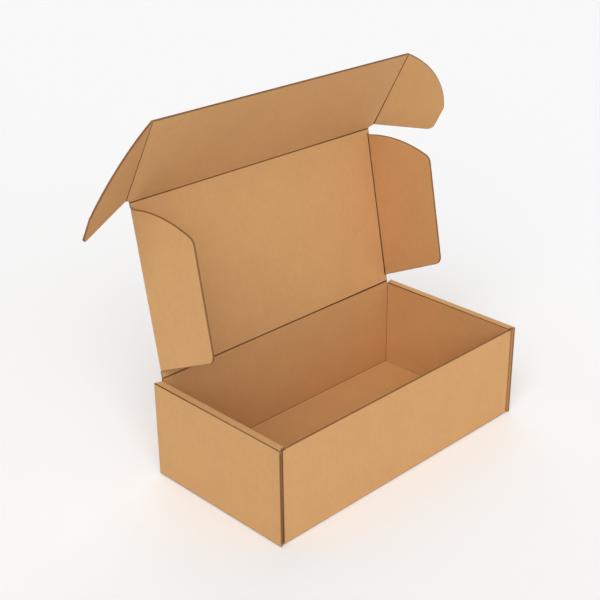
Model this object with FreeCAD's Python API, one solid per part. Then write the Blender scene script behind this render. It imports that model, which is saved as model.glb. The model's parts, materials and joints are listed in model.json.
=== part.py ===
import FreeCAD, Part
import math
import os

os.makedirs("parts", exist_ok=True)

Vector = FreeCAD.Vector

# All sizes are in millimetres, all angles in degrees.
# X runs along the box, Y from the front wall to the back wall, Z up from the underside.

# Corrugated board
board = 1.5
outer_fold_radius = 0.8
inner_fold_radius = 0.25

# Tray: overall size over the end walls
tray_length = 250.0
end_wall_width = 128.2
tray_height = 75.0

# Front and back walls: how far their outer faces stand in from the edges of the end walls
front_recess = 0.9
back_recess = 0.35
front_wall_drop = 1.2

# Rolled end walls: outer layer, ear pocket, corner flap, inner layer
pocket_width = 2.0
layer_gap = 0.15
inner_wall_end_gap = 0.2
floor_gap = 0.2

# Corner flaps, held between the layers of the end walls
corner_flap_length = 56.0
corner_flap_drop = 0.4
corner_flap_radius = 5.0

# Tabs under the inner end walls, locked in slots of the floor
tab_width = 24.0
tab_distance = 31.0
tab_bottom = 0.15
slot_clearance = 0.2

# Lid hinge, above the rolled strips
hinge_rise = 1.5
shoulder_radius = 1.8

# Lid and its flaps: clearances at the folds and, with the box closed, from the tray
fold_clearance = 0.3
tuck_wall_gap = 0.5
tuck_edge_height = 1.6
dust_flap_clearance = 0.2
dust_swing_clearance = 0.3
ear_clearance = 0.15
ear_top_clearance = 0.3

# Dust flap outline: s runs along the lid from the hinge, w away from the fold
dust_flap_height = 62.9
dust_fold_start = 5.4
dust_fold_end_gap = 3.95
dust_low_slope = 15.0
dust_low_radius = 7.1
dust_front_radius = 7.1
dust_arc_s = 13.1
dust_arc_w = 5.5

# Ear outline: s runs along the tuck flap from the lid fold, w away from the ear fold
ear_reach = 54.9
ear_corner_radius = 5.0
ear_arc_s = -3.0
ear_arc_w = -20.0

# Rest pose: lid leaned back from lying open flat, and fold angle of each flap from flat
lid_angle = 79.36
tuck_angle = 39.98
ear_angle = 24.4
dust_flap_angle = 90.0

# Derived positions in the tray
half_length = tray_length / 2
half_width = end_wall_width / 2
front_out = -half_width + front_recess
front_in = front_out + board
back_out = half_width - back_recess
back_in = back_out - board
hinge_y = back_out - board / 2
end_in = half_length - board
corner_out = end_in - pocket_width
corner_in = corner_out - board
inner_wall_out = corner_in - layer_gap
inner_wall_in = inner_wall_out - board
strip_under = tray_height - board
inner_wall_front = front_in + inner_wall_end_gap
inner_wall_back = back_in - inner_wall_end_gap
inner_wall_bottom = board + floor_gap
front_wall_top = tray_height - front_wall_drop
corner_flap_bottom = board + floor_gap
corner_flap_top = strip_under - corner_flap_drop
hinge_height = tray_height + hinge_rise

# Derived sizes of the lid and its flaps, measured along the sheet between fold lines
panel_start = board / 2 + fold_clearance
lid_depth = hinge_y + half_width + tuck_wall_gap + board / 2
dust_fold_x = inner_wall_in - dust_flap_clearance - board / 2
lid_half_width = dust_fold_x + board / 2
dust_fold_end = lid_depth - dust_fold_end_gap
dust_arc_radius = hinge_y - front_in - dust_swing_clearance - math.hypot(dust_arc_s, dust_arc_w)
tuck_depth = hinge_height - tuck_edge_height
ear_fold_x = end_in - ear_clearance - board / 2
ear_start = hinge_height - strip_under + ear_top_clearance


def rounded_face(corners):
    """Flat face in the XY plane from corners (x, y, radius), radius 0 for a sharp corner."""
    count = len(corners)
    edges = []
    first_point = None
    last_point = None
    for index in range(count):
        x, y, radius = corners[index]
        corner = Vector(x, y, 0)
        before = Vector(corners[index - 1][0], corners[index - 1][1], 0)
        after = Vector(corners[(index + 1) % count][0], corners[(index + 1) % count][1], 0)
        to_before = (before - corner).normalize()
        to_after = (after - corner).normalize()
        start = corner
        end = corner
        arc = None
        if radius > 0:
            half_angle = to_before.getAngle(to_after) / 2
            reach = radius / math.tan(half_angle)
            start = corner + to_before * reach
            end = corner + to_after * reach
            inward = (to_before + to_after).normalize()
            middle = corner + inward * (radius / math.sin(half_angle) - radius)
            arc = Part.Arc(start, middle, end).toShape()
        if last_point is not None and last_point.distanceToPoint(start) > 1e-6:
            edges.append(Part.makeLine(last_point, start))
        if arc is not None:
            edges.append(arc)
        if first_point is None:
            first_point = start
        last_point = end
    if last_point.distanceToPoint(first_point) > 1e-6:
        edges.append(Part.makeLine(last_point, first_point))
    return Part.Face(Part.Wire(edges))


def plan_prism(corners, low, high):
    """Prism of a face drawn in X and Y, from height low to height high."""
    solid = rounded_face(corners).extrude(Vector(0, 0, high - low))
    solid.translate(Vector(0, 0, low))
    return solid


def length_prism(corners, low, high):
    """Prism of a face drawn in Y and Z, carried along X from low to high."""
    solid = rounded_face(corners).extrude(Vector(0, 0, high - low))
    solid.rotate(Vector(0, 0, 0), Vector(1, 1, 1), 120)
    solid.translate(Vector(low, 0, 0))
    return solid


def width_prism(corners, low, high):
    """Prism of a face drawn in X and Z, carried along Y from low to high."""
    solid = rounded_face(corners).extrude(Vector(0, 0, high - low))
    solid.rotate(Vector(0, 0, 0), Vector(1, 0, 0), 90)
    solid.translate(Vector(0, high, 0))
    return solid


def mirrored(solid):
    """The same shape on the other side of the middle plane X = 0."""
    return solid.mirror(Vector(0, 0, 0), Vector(1, 0, 0))


def block(x0, x1, y0, y1, z0, z1):
    """Rectangular block between two corners."""
    return Part.makeBox(x1 - x0, y1 - y0, z1 - z0, Vector(x0, y0, z0))


def floor_and_long_walls():
    """Front wall, floor and back wall as one folded strip; the back wall ends in the rounded
    bead of the lid hinge, and both walls step down beside the rolled end walls."""
    strip = length_prism(
        [
            (front_out, front_wall_top, 0),
            (front_out, 0, outer_fold_radius),
            (back_out, 0, outer_fold_radius),
            (back_out, hinge_height + board / 2, board / 2),
            (back_in, hinge_height + board / 2, board / 2),
            (back_in, board, inner_fold_radius),
            (front_in, board, inner_fold_radius),
            (front_in, front_wall_top, 0),
        ],
        -corner_out,
        corner_out,
    )
    above = tray_height + 2 * board
    beyond = half_length
    slope_start = lid_half_width - board / 2
    front_step = width_prism(
        [
            (slope_start, front_wall_top, 0),
            (inner_wall_in, corner_flap_top, 0),
            (beyond, corner_flap_top, 0),
            (beyond, above, 0),
            (slope_start, above, 0),
        ],
        -half_width,
        0,
    )
    back_step = width_prism(
        [
            (lid_half_width, above, 0),
            (lid_half_width, corner_flap_top, shoulder_radius),
            (beyond, corner_flap_top, 0),
            (beyond, above, 0),
        ],
        0,
        half_width,
    )
    fold_zone = block(inner_wall_out, beyond, -half_width, half_width, corner_flap_bottom, above)
    for cutter in (front_step, back_step, fold_zone):
        strip = strip.cut(cutter).cut(mirrored(cutter))
    return strip


def rolled_end_wall():
    """Right end wall: up from the floor, over the top and down again inside the tray."""
    wall = width_prism(
        [
            (corner_out, 0, 0),
            (half_length, 0, outer_fold_radius),
            (half_length, tray_height, outer_fold_radius),
            (inner_wall_in, tray_height, outer_fold_radius),
            (inner_wall_in, inner_wall_bottom, 0),
            (inner_wall_out, inner_wall_bottom, 0),
            (inner_wall_out, strip_under, inner_fold_radius),
            (end_in, strip_under, inner_fold_radius),
            (end_in, board, inner_fold_radius),
            (corner_out, board, 0),
        ],
        -half_width,
        half_width,
    )
    inside = inner_wall_in - board
    for edge, side in ((inner_wall_front, -1), (inner_wall_back, 1)):
        outside = side * (half_width + board)
        wall = wall.cut(
            plan_prism(
                [
                    (half_length, side * half_width, 0),
                    (inner_wall_in, edge, 0),
                    (inside, edge, 0),
                    (inside, outside, 0),
                    (half_length, outside, 0),
                ],
                strip_under,
                tray_height,
            )
        )
        wall = wall.cut(
            block(
                inside,
                corner_in,
                min(edge, outside),
                max(edge, outside),
                board,
                strip_under,
            )
        )
    for long_face, side in ((front_out, -1), (back_out, 1)):
        outside = side * (half_width + board)
        wall = wall.cut(
            plan_prism(
                [
                    (half_length, side * half_width, 0),
                    (corner_out, long_face - side * outer_fold_radius, 0),
                    (corner_out, outside, 0),
                    (half_length, outside, 0),
                ],
                0,
                board,
            )
        )
    return wall


def corner_flap(side):
    """Corner fold and flap on the right; side -1 hangs on the front wall, 1 on the back wall."""
    long_face = front_out if side < 0 else back_out
    inner_face = long_face - side * board
    free_end = long_face - side * corner_flap_length
    flap = plan_prism(
        [
            (inner_wall_out, long_face, 0),
            (corner_out, long_face, outer_fold_radius),
            (corner_out, free_end, 0),
            (corner_in, free_end, 0),
            (corner_in, inner_face, inner_fold_radius),
            (inner_wall_out, inner_face, 0),
        ],
        corner_flap_bottom,
        corner_flap_top,
    )
    rounded = rounded_face(
        [
            (long_face, corner_flap_bottom, 0),
            (free_end, corner_flap_bottom, corner_flap_radius),
            (free_end, corner_flap_top, corner_flap_radius),
            (long_face, corner_flap_top, 0),
        ]
    ).extrude(Vector(0, 0, half_length))
    rounded.rotate(Vector(0, 0, 0), Vector(1, 1, 1), 120)
    return flap.common(rounded)


def make_tray():
    """The glueless tray: one sheet folded into floor, walls, rolled ends and corner flaps."""
    right_end = rolled_end_wall()
    right_flaps = [corner_flap(-1), corner_flap(1)]
    tray = floor_and_long_walls()
    for shape in [right_end] + right_flaps:
        tray = tray.fuse(shape).fuse(mirrored(shape))
    for side in (-1, 1):
        low = side * tab_distance - tab_width / 2
        high = low + tab_width
        slot = block(
            inner_wall_in - slot_clearance,
            inner_wall_out + slot_clearance,
            low - slot_clearance,
            high + slot_clearance,
            0,
            board,
        )
        tab = block(inner_wall_in, inner_wall_out, low, high, tab_bottom, inner_wall_bottom)
        tray = tray.cut(slot).cut(mirrored(slot))
        tray = tray.fuse(tab).fuse(mirrored(tab))
    return tray.removeSplitter()


def sheet_between(x_end, s_start, s_end, front_radius):
    """Flat board with a rounded bead on both long sides, ending at s_end with front_radius."""
    half = board / 2
    along = width_prism(
        [
            (-x_end, -half, half),
            (x_end, -half, half),
            (x_end, half, half),
            (-x_end, half, half),
        ],
        s_start,
        s_end,
    )
    across = length_prism(
        [
            (s_start, -half, 0),
            (s_end, -half, front_radius),
            (s_end, half, front_radius),
            (s_start, half, 0),
        ],
        -x_end,
        x_end,
    )
    return along.common(across)


def make_lid():
    """Lid panel lying flat: fold beads at both sides and at the front, square free edges."""
    half = board / 2
    lid = sheet_between(lid_half_width, panel_start, lid_depth + half, half)
    for low, high in ((panel_start, dust_fold_start), (dust_fold_end, lid_depth - half)):
        free_edge = block(dust_fold_x - half, lid_half_width, low, high, -half, half)
        lid = lid.fuse(free_edge).fuse(mirrored(free_edge))
    return lid.removeSplitter()


def make_tuck_flap():
    """Tuck flap lying flat: starts beside the lid fold, ear beads at both sides."""
    half = board / 2
    flap_half_width = ear_fold_x + half
    flap = sheet_between(flap_half_width, panel_start, tuck_depth, 0)
    corner = plan_prism(
        [
            (lid_half_width, 0, 0),
            (lid_half_width, panel_start, 0),
            (flap_half_width, ear_start, 0),
            (flap_half_width + board, ear_start, 0),
            (flap_half_width + board, 0, 0),
        ],
        -board,
        board,
    )
    return flap.cut(corner).cut(mirrored(corner))


def make_ear():
    """Right ear lying flat, its fold along X = 0: straight top, rounded tip, swept lower edge."""
    half = board / 2
    plate = plan_prism(
        [
            (panel_start, ear_start, 0),
            (ear_reach, ear_start, ear_corner_radius),
            (ear_reach, tuck_depth, 0),
            (panel_start, tuck_depth, 0),
        ],
        -half,
        half,
    )
    arc_radius = math.hypot(tuck_depth - ear_arc_s, ear_arc_w)
    disc = Part.makeCylinder(arc_radius, board, Vector(ear_arc_w, ear_arc_s, -half))
    return plate.common(disc)


def make_dust_flap():
    """Right dust flap lying flat, its fold along X = 0, with a curved front edge."""
    half = board / 2
    low_end = dust_fold_start + dust_flap_height * math.tan(math.radians(dust_low_slope))
    plate = plan_prism(
        [
            (panel_start, dust_fold_start + panel_start * math.tan(math.radians(dust_low_slope)), 0),
            (dust_flap_height, low_end, dust_low_radius),
            (dust_flap_height, dust_fold_end, 0),
            (panel_start, dust_fold_end, 0),
        ],
        -half,
        half,
    )
    disc = Part.makeCylinder(dust_arc_radius, board, Vector(dust_arc_w, dust_arc_s, -half))
    flap = plate.common(disc)
    front_corner_s = dust_arc_s + math.sqrt(
        dust_arc_radius ** 2 - (dust_flap_height - dust_arc_w) ** 2
    )
    corner_edges = []
    for edge in flap.Edges:
        middle = edge.CenterOfMass
        near = math.hypot(middle.x - dust_flap_height, middle.y - front_corner_s) < board
        if near and abs(edge.Length - board) < 1e-6:
            corner_edges.append(edge)
    return flap.makeFillet(dust_front_radius, corner_edges)


def folded_side_flap(flap, fold_x, angle):
    """A right side flap turned up by its fold angle and set on its fold line."""
    placed = flap.copy()
    placed.rotate(Vector(0, 0, 0), Vector(0, 1, 0), -angle)
    placed.translate(Vector(fold_x, 0, 0))
    return placed


def main():
    ear = folded_side_flap(make_ear(), ear_fold_x, ear_angle)
    dust_flap = folded_side_flap(make_dust_flap(), dust_fold_x, dust_flap_angle)
    tuck_group = {
        "tuck_flap": make_tuck_flap(),
        "right_ear": ear,
        "left_ear": mirrored(ear),
    }
    lid_group = {
        "lid": make_lid(),
        "right_dust_flap": dust_flap,
        "left_dust_flap": mirrored(dust_flap),
    }
    for name, shape in tuck_group.items():
        shape.rotate(Vector(0, 0, 0), Vector(1, 0, 0), tuck_angle)
        shape.translate(Vector(0, lid_depth, 0))
        lid_group[name] = shape
    shapes = {"tray": make_tray()}
    for name, shape in lid_group.items():
        shape.rotate(Vector(0, 0, 0), Vector(1, 0, 0), lid_angle)
        shape.translate(Vector(0, hinge_y, hinge_height))
        shapes[name] = shape
    for name, shape in shapes.items():
        if len(shape.Solids) != 1 or not shape.isValid():
            raise ValueError(name + " is not one valid solid")
        shape.Solids[0].exportStep("parts/" + name + ".step")


main()
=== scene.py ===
import json
import math
from functools import partial
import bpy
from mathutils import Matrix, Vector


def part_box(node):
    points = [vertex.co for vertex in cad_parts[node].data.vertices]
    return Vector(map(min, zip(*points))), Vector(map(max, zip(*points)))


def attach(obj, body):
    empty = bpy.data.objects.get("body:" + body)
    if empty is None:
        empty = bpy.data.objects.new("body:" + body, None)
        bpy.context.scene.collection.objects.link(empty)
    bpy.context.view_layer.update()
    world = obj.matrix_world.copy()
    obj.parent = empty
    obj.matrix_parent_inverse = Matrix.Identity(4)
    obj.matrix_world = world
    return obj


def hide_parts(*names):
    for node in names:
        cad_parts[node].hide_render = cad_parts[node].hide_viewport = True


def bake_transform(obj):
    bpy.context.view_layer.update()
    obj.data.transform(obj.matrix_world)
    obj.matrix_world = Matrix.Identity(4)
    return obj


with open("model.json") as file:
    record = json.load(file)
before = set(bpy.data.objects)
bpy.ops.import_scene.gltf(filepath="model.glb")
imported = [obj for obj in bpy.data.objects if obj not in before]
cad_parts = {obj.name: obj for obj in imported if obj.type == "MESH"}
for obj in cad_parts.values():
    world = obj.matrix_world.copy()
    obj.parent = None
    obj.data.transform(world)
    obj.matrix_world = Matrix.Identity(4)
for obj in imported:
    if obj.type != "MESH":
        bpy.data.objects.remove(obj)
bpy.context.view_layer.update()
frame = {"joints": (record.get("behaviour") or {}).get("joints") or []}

from types import SimpleNamespace

import bpy
import numpy as np
from bpy.props import FloatProperty, FloatVectorProperty, PointerProperty
from bpy.types import Operator, Panel, PropertyGroup

bl_info = {
    "name": "Corrugated mailer box",
    "version": (1, 0, 0),
    "blender": (4, 5, 0),
    "location": "3D View > Sidebar > Mailer Box",
    "description": "Kraft corrugated board of the mailer box, with fluted edges and scored folds",
    "category": "Mesh",
}

MM = 0.001
TINY = 1e-6
X, Y, Z = np.eye(3)

# Finish of a face, which is the number of its material
LINER, CUT, CREASE = range(3)

# Steps of an outline, and of the curves in the section of a fold
STEPS_PER_FLUTE = 10
END_STEP = 0.3 * MM
LEAST_ARC_POINTS = 6
OUTER_FOLD_POINTS = 7
INNER_FOLD_POINTS = 4
HINGE_POINTS = 9
GROOVE_POINTS = 5
GROOVE_MIDDLE = 0.2
FACE_STEP = 0.3 * MM

# Cut edges: what counts as a corner, how long the flutes take to open after one, and the gaps
# that keep the medium off the liners and the crushed edge off the open flute
SHARP_CORNER = math.radians(20)
OPENING_RUN = 1.5
MEDIUM_GAP = 0.01 * MM
EDGE_GAP = 0.002 * MM

# Kraft paper: cycles per metre and detail of its clouds, puffs and specks, cycles per metre of
# the curls and of the gaps of its fibres with how thin they are, and its flecks
CLOUD, PUFF, SPECK = (38.0, 3.0), (210.0, 2.0), (1900.0, 2.0)
DARK_FIBRES, LIGHT_FIBRES = (260.0, 420.0, 50.0), (330.0, 300.0, 60.0)
FIBRE_DETAIL, FIBRE_CURL = 1.5, 0.6
GAP_DETAIL, GAP_LEVEL, GAP_EDGE = 1.0, 0.48, 6.0
FLECK, FLECK_FALL = 130.0, 22.0

# How strong the patterns are beside each other, and what they do to roughness and relief
PUFF_SHARE, LIGHT_SHARE, FLECK_SHARE = 0.8, -0.7, 1.6
DARK_HEIGHT = 0.35
ROUGHNESS_SWING = 0.3
PAPER_SPECULAR = 0.25
FLUTE_RELIEF = 12
BUMP_DEPTH = 0.05 * MM

# Azimuth, elevation and spread of each light in degrees, the camera, and the floor
LIGHTS = {"key": (-48.0, 40.0, 55.0), "low": (2.0, 10.0, 40.0), "back": (140.0, 35.0, 60.0)}
CAMERA_PLACE = (-0.57599, -0.55089, 0.49302)
CAMERA_DOWN, CAMERA_ROUND = 25.546, -45.564
CAMERA_SHIFT = (-0.0487, 0.0139)
SENSOR_WIDTH = 36.0
NEAREST_SEEN = 0.01
FLOOR_REACH, FLOOR_LEVEL = 20.0, -0.2 * MM

TRAY_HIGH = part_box("tray")[1]

# The upper limit of each joint is the flat sheet, and the photo's pose is at 0
REST_ANGLE = {joint["name"]: math.radians(joint["range_deg"][1]) for joint in frame["joints"]}


def length(name, description, millimetres):
    """A length in the sidebar, kept in metres and written here in millimetres."""
    return FloatProperty(
        name=name, description=description, default=millimetres * MM, unit="LENGTH", precision=5
    )


def angle(name, description, radians):
    """A fold angle in the sidebar."""
    return FloatProperty(name=name, description=description, default=radians, subtype="ANGLE")


def colour(name, description, value):
    """A linear colour in the sidebar."""
    return FloatVectorProperty(
        name=name, description=description, default=value, size=3, subtype="COLOR", min=0.0, max=1.0
    )


def factor(name, description, value, high=1.0):
    """A plain number in the sidebar."""
    return FloatProperty(name=name, description=description, default=value, min=0.0, max=high)


class BoardSheet(PropertyGroup):
    """The corrugated board itself."""

    thickness: length("Thickness", "Board over both liners", 1.5)
    liner: length("Liner", "Thickness of one liner", 0.22)
    medium: length("Medium", "Thickness of the fluted paper", 0.18)
    pitch: length("Flute pitch", "Distance from one flute to the next", 3.2)
    recess: length("Open flute depth", "How deep a cut edge is open between the liners", 0.6)
    outer_fold: length("Outer fold radius", "Outside of a fold in the tray", 0.8)
    inner_fold: length("Inner fold radius", "Inside of a fold in the tray", 0.25)
    crush: length("Crushed edge", "How far the die pressed a liner down at a cut edge", 0.12)
    crush_width: length("Crushed width", "How far in from a cut edge that shows", 0.65)
    score: length("Score depth", "How far the scoring wheel pressed the inside of a fold", 0.3)
    score_width: length("Score half width", "From the middle of a score to flat board", 0.7)


class TraySizes(PropertyGroup):
    """The tray, from its end walls inwards."""

    tray_length: length("Length", "Over both end walls", 2 * TRAY_HIGH.x / MM)
    tray_width: length("End wall width", "Over the end walls' side edges", 128.2)
    tray_height: length("Height", "To the top of the rolled strips", 75.0)
    front_recess: length("Front recess", "Front wall behind the end walls' edges", 0.9)
    back_recess: length("Back recess", "Back wall inside the end walls' edges", 0.35)
    front_drop: length("Front wall drop", "Front wall below the rolled strips", 1.2)
    pocket: length("Ear pocket", "Gap between outer end wall and corner flap", 2.0)
    layer_gap: length("Layer gap", "Gap between corner flap and inner end wall", 0.15)
    end_gap: length("Inner wall end gap", "Gap beside the inner end wall's side edges", 0.2)
    floor_gap: length("Floor gap", "Gap under the inner end wall", 0.2)
    flap_length: length("Corner flap length", "From the long wall's outer face", 56.0)
    flap_drop: length("Corner flap drop", "Corner flap below the rolled strip", 0.4)
    flap_radius: length("Corner flap radius", "Rounding at its free end", 5.0)
    tab_width: length("Tab width", "Locking tab under the inner end wall", 24.0)
    tab_distance: length("Tab distance", "Tab's middle from the box's middle", 31.0)
    tab_bottom: length("Tab bottom", "Tab's lower edge above the ground", 0.15)
    slot_gap: length("Slot gap", "Clearance round a tab in its slot", 0.2)
    shoulder: length("Shoulder radius", "Curve beside the lid hinge", 1.8)
    hinge_rise: length("Hinge rise", "Lid hinge above the rolled strips", 1.5)


class LidSizes(PropertyGroup):
    """The lid, its tuck flap, dust flaps and ears, measured on the sheet."""

    panel_start: length("Panel start", "From a fold line to where its flap begins", 1.05)
    panel_end: length("Panel end", "From the end of the panel that holds a flap to its fold", 1.0)
    side_fold_reach: length("Side fold reach", "From a dust flap's fold line to flat board", 1.5)
    tuck_wall_gap: length("Tuck gap", "Closed tuck flap in front of the end walls' edges", 0.5)
    tuck_edge_height: length("Tuck edge height", "Closed tuck flap's edge above the ground", 1.6)
    dust_gap: length("Dust flap gap", "Closed dust flap from the inner end wall", 0.2)
    dust_swing_gap: length("Dust flap swing gap", "Its curved edge from the front wall", 0.3)
    dust_height: length("Dust flap height", "From its fold line", 62.9)
    dust_start: length("Dust flap start", "From the lid hinge along the lid", 5.4)
    dust_end: length("Dust flap end", "From the tuck fold back along the lid", 3.95)
    dust_slope: angle("Dust flap slope", "Slope of its edge beside the hinge", math.radians(15))
    dust_radius: length("Dust flap radius", "Rounding of its two corners", 7.1)
    dust_arc_s: length("Dust arc centre, along", "Centre of its curved edge along the lid", 13.1)
    dust_arc_w: length("Dust arc centre, out", "Centre of its curved edge off the fold", 5.5)
    ear_gap: length("Ear gap", "Closed ear from the outer end wall", 0.15)
    ear_top_gap: length("Ear top gap", "Closed ear under the rolled strip", 0.3)
    ear_reach: length("Ear reach", "From its fold line to its tip", 54.9)
    ear_radius: length("Ear radius", "Rounding of its tip", 5.0)
    ear_arc_s: length("Ear arc centre, along", "Centre of its swept edge along the tuck", -3.0)
    ear_arc_w: length("Ear arc centre, out", "Centre of its swept edge off the fold", -20.0)
    lid_angle: angle("Lid angle", "From lying open flat", REST_ANGLE["lid_hinge"])
    tuck_angle: angle("Tuck angle", "From flat with the lid", REST_ANGLE["tuck_fold"])
    dust_angle: angle("Dust flap angle", "From flat with the lid", REST_ANGLE["right_dust_fold"])
    ear_angle: angle("Ear angle", "From flat with the tuck flap", REST_ANGLE["right_ear_fold"])


class KraftFinish(PropertyGroup):
    """Colours and paper texture."""

    kraft: colour("Kraft", "Colour of the liners", (0.603, 0.331, 0.137))
    # Cut edge colour: darker than the liner, partly the exposed paper and partly painted shade in
    # the open flutes
    cut: colour("Cut edge", "Colour of the cut edges and the flutes in them", (0.34, 0.166, 0.064))
    # Crease colour: partly pressed paper, partly painted shade in fold grooves, on fold arcs and
    # along crushed edges
    crease: colour("Crease", "Colour where score or die pressed most", (0.115, 0.052, 0.019))
    blotch: factor("Blotches", "Cloudy variation of the liner", 0.05)
    grain: factor("Grain", "Fine speckle of the liner", 0.06)
    fibres: factor("Fibres", "Dark and light long fibres and dark flecks in the liner", 0.10)
    # Crushed edges go dark: partly crushed paper, partly painted shade along every cut edge
    edge_crush_and_shade: factor("Edge crush and shade", "How far a crushed edge goes over to the crease's colour", 0.85)
    washboard: factor("Washboard", "How far the flutes show through the liner", 0.012)


class Studio(PropertyGroup):
    """Floor, light and camera."""

    floor: colour("Floor", "Colour of the floor", (0.93, 0.93, 0.93))
    backdrop: factor("Backdrop", "Brightness of floor and air as the camera sees them", 0.94)
    ambient: factor("Ambient", "Even light from all round", 0.40, 10.0)
    key: factor("Key light", "Irradiance of the broad light from the front left", 2.00, 20.0)
    low: factor("Low light", "Irradiance of the low broad light from the front", 0.39, 20.0)
    back: factor("Back light", "Irradiance of the broad light from behind", 0.58, 20.0)
    open_floor: factor("Open floor", "Radiance of the bare floor under these lights", 0.87)
    lens: FloatProperty(name="Lens", description="Focal length", default=73.23, unit="CAMERA")


class MailerBox(PropertyGroup):
    """All settings of the box."""

    board: PointerProperty(type=BoardSheet)
    tray: PointerProperty(type=TraySizes)
    lid: PointerProperty(type=LidSizes)
    finish: PointerProperty(type=KraftFinish)
    studio: PointerProperty(type=Studio)


def settings():
    """The box's settings, which are kept with the scene."""
    return bpy.context.scene.mailer_box


def fold_lines():
    """Places that follow from the sizes, in metres, named as they are on the sheet. Where front
    and back have a place each, -1 is the front's and 1 the back's."""
    box = settings()
    sheet, tray, lid = box.board, box.tray, box.lid
    board = sheet.thickness
    p = SimpleNamespace(sheet=sheet, tray=tray, lid=lid, edge_crush_and_shade=box.finish.edge_crush_and_shade)
    p.half, p.turn = board / 2, board + sheet.inner_fold
    p.half_length = tray.tray_length / 2
    p.half_width = tray.tray_width / 2
    p.face = {-1: tray.front_recess - p.half_width, 1: p.half_width - tray.back_recess}
    p.front_in = p.face[-1] + board
    p.back_in = p.face[1] - board
    p.end_in = p.half_length - board
    p.corner_out = p.end_in - tray.pocket
    p.corner_in = p.corner_out - board
    p.inner_out = p.corner_in - tray.layer_gap
    p.inner_in = p.inner_out - board
    p.inner_edge = {-1: p.front_in + tray.end_gap, 1: p.back_in - tray.end_gap}
    p.inner_bottom = board + tray.floor_gap
    p.strip_under = tray.tray_height - board
    p.front_top = tray.tray_height - tray.front_drop
    p.flap_top = p.strip_under - tray.flap_drop
    p.hinge_y = p.face[1] - p.half
    p.hinge_z = tray.tray_height + tray.hinge_rise
    p.lid_depth = p.hinge_y + p.half_width + lid.tuck_wall_gap + p.half
    p.dust_x = p.inner_in - lid.dust_gap - p.half
    p.lid_half_width = p.dust_x + p.half
    p.dust_end = p.lid_depth - lid.dust_end
    dust_centre_reach = math.hypot(lid.dust_arc_s, lid.dust_arc_w)
    p.dust_arc = p.hinge_y - p.front_in - lid.dust_swing_gap - dust_centre_reach
    p.dust_centre = (lid.dust_arc_w, lid.dust_arc_s)
    p.tuck_depth = p.hinge_z - lid.tuck_edge_height
    p.ear_x = p.end_in - lid.ear_gap - p.half
    p.ear_start = p.hinge_z - p.strip_under + lid.ear_top_gap
    p.ear_arc = math.hypot(p.tuck_depth - lid.ear_arc_s, lid.ear_arc_w)
    p.ear_centre = (lid.ear_arc_w, lid.ear_arc_s)
    return p


class Place:
    """Where flat board lies: its zero point, the directions of a and b, and the face's normal."""

    def __init__(self, zero, along_a, along_b):
        self.zero = np.array(zero, float)
        self.axes = np.array([along_a, along_b, np.cross(along_a, along_b)], float)

    def put(self, points):
        """Zero point plus a, b and height times their directions."""
        return self.zero + np.asarray(points, float) @ self.axes


class Shell:
    """One piece as it is put together: its points, each with two board coordinates and its share of
    the crease colour (pressed paper and painted shade), and its faces, each with a finish and its
    smoothness."""

    def __init__(self):
        self.points = np.zeros((0, 3))
        self.coords = np.zeros((0, 3))
        self.faces = []
        self.finish = []
        self.smooth = []

    def add(self, points, coords, faces, finish, smooth):
        """Puts faces after those already here, with their numbers moved up."""
        start = len(self.points)
        self.points = np.vstack([self.points, points])
        self.coords = np.vstack([self.coords, coords])
        self.faces += [[start + corner for corner in face] for face in faces]
        self.finish += list(finish)
        self.smooth += list(smooth)
        return self

    def join(self, *others):
        """Puts the faces of other shells after those already here."""
        for other in others:
            self.add(other.points, other.coords, other.faces, other.finish, other.smooth)
        return self

    def mirrored(self):
        """The same piece with X turned to -X, and each face's order turned so that it still
        looks outwards."""
        points, faces = self.points * [-1, 1, 1], [face[::-1] for face in self.faces]
        return Shell().add(points, self.coords, faces, self.finish, self.smooth)


def between(x, low, high):
    """Height at x of the straight line from one point to another, level beyond both."""
    return np.interp(x, (low[0], high[0]), (low[1], high[1]))


def circle_top(centre, radius, x):
    """Height at x of the upper half of a circle: its centre's plus the root of the radius
    squared less the distance from the centre squared."""
    return centre[1] + np.sqrt(radius**2 - (x - centre[0]) ** 2)


def bearing(centre, point):
    """Angle of a point as seen from a centre."""
    return math.atan2(point[1] - centre[1], point[0] - centre[0])


def line(start, end, sheet, across=0, cut=True):
    """Straight run of an outline: even steps, a tenth of a flute pitch apart where it crosses
    flutes, and one short step at each end, where the open flutes of a cut edge close."""
    start, end = np.array(start, float), np.array(end, float)
    if not cut:
        return np.array([start, end]), False
    short = min(1 / 4, END_STEP / np.linalg.norm(end - start))
    step = sheet.pitch / STEPS_PER_FLUTE
    count = max(2, int(abs(end[across] - start[across]) / step))
    share = np.concatenate([[0], np.linspace(short, 1 - short, count), [1]])
    return start + share[:, None] * (end - start), True


def arc(centre, radius, first, last, sheet):
    """Run of an outline on a circle: centre plus radius times the cosine and sine of angles
    from first to last, a tenth of a flute pitch apart."""
    step = sheet.pitch / STEPS_PER_FLUTE
    count = max(LEAST_ARC_POINTS, int(radius * abs(last - first) / step))
    turn = np.linspace(first, last, count)
    return np.array(centre) + radius * np.stack([np.cos(turn), np.sin(turn)], axis=1), True


def rounded(before, corner, after, radius, sheet):
    """Rounding of a corner of an outline: the points where it leaves one straight edge and meets
    the other, and the arc between them, whose centre is on the corner's bisector."""
    before, corner, after = (np.array(point, float) for point in (before, corner, after))
    back = (before - corner) / np.linalg.norm(before - corner)
    on = (after - corner) / np.linalg.norm(after - corner)
    half_angle = math.acos(float(back @ on)) / 2
    reach = radius / math.tan(half_angle)
    bisector = (back + on) / np.linalg.norm(back + on)
    centre = corner + bisector * radius / math.sin(half_angle)
    leaves, meets = corner + back * reach, corner + on * reach
    first, last = bearing(centre, leaves), bearing(centre, meets)
    last += 2 * math.pi * round((first - last) / (2 * math.pi))
    return leaves, meets, arc(centre, radius, first, last, sheet)


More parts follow.
